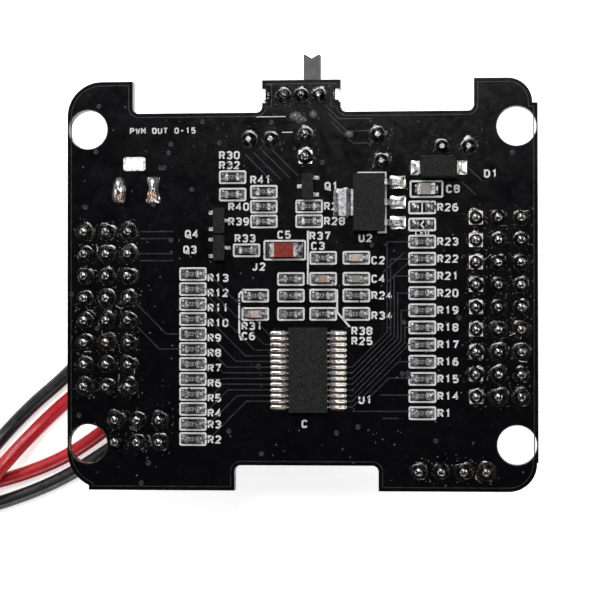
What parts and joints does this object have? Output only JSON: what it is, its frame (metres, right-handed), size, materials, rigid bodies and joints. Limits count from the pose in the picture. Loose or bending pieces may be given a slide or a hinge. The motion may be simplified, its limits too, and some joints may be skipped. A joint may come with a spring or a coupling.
{
  "type": "servo driver board",
  "caption": "Controller board with rows of servo header pins, a slide power switch, a WiFi module and a two-wire power lead, lying solder side up.",
  "frame": {"origin": "on the surface that the capacitors stand on, below the middle of the board and switch knob", "axes": "+Z out of the solder side, +Y towards the edge with the slide switch, +X along the board's long side"},
  "size_m": [0.0887, 0.068, 0.0155],
  "materials": {
    "board_mask": "black solder mask",
    "strip_black": "moulded",
    "strip_red": "moulded",
    "strip_yellow": "moulded",
    "pin_metal": "plated",
    "solder": "bright",
    "tinned_lead": "tinned",
    "switch_tin": "bright",
    "knob_plastic": "moulded",
    "phenolic": "pressed",
    "chip_black": "moulded",
    "resistor_glaze": "glazed",
    "ceramic_brown": "fired",
    "ceramic_orange": "fired",
    "module_board": "blue solder mask",
    "shield_metal": "satin",
    "can_aluminium": "satin",
    "sleeve_plastic": "shrunk sleeve",
    "bung_rubber": "matt",
    "fuse_yellow": "dipped",
    "wire_red": "silicone",
    "wire_black": "silicone",
    "copper_core": "stranded, tinned"
  },
  "bodies": {
    "board": {"pcb": "board_mask", "left_signal_strip": "strip_yellow", "left_power_strip": "strip_red", "left_ground_strip": "strip_black", "right_signal_strip": "strip_yellow", "right_power_strip": "strip_red", "right_ground_strip": "strip_black", "left_header_pins": "pin_metal", "right_header_pins": "pin_metal", "small_header_pins": "pin_metal", "left_header_joints": "solder", "right_header_joints": "solder", "small_header_joints": "solder", "port_header_strip": "strip_black", "serial_header_strip": "strip_black", "link_header_strip": "strip_black", "switch_shell": "switch_tin", "switch_base": "phenolic", "switch_terminals": "tinned_lead", "switch_joints": "solder", "driver_chip_body": "chip_black", "driver_chip_leads": "tinned_lead", "regulator_body": "chip_black", "regulator_leads": "tinned_lead", "diode_body": "chip_black", "diode_terminals": "tinned_lead", "transistor_bodies": "chip_black", "transistor_leads": "tinned_lead", "left_resistor_bodies": "resistor_glaze", "left_resistor_ends": "tinned_lead", "right_resistor_bodies": "resistor_glaze", "right_resistor_ends": "tinned_lead", "centre_resistor_bodies": "resistor_glaze", "centre_resistor_ends": "tinned_lead", "ceramic_bodies": "ceramic_brown", "ceramic_ends": "tinned_lead", "large_capacitor_body": "ceramic_orange", "large_capacitor_ends": "tinned_lead", "wifi_board": "module_board", "wifi_shield": "shield_metal", "wifi_joints": "solder", "radial_cans": "can_aluminium", "radial_sleeves": "sleeve_plastic", "radial_bungs": "bung_rubber", "radial_leads": "tinned_lead", "polymer_cans": "can_aluminium", "polymer_bases": "strip_black", "polymer_terminals": "tinned_lead", "fuse_disc": "fuse_yellow", "fuse_leads": "tinned_lead", "single_joints": "solder", "lead_cores": "copper_core", "lead_joints": "solder", "red_wire": "wire_red", "black_wire": "wire_black", "plug_housing": "strip_black", "plug_contacts": "pin_metal"},
    "slider": {"switch_slider": "knob_plastic", "switch_contact": "copper_core"}
  },
  "joints": [
    {"name": "switch_slide", "type": "slide", "parent": "board", "child": "slider", "axis": [1, 0, 0], "range_m": [-0.002, 0]}
  ]
}
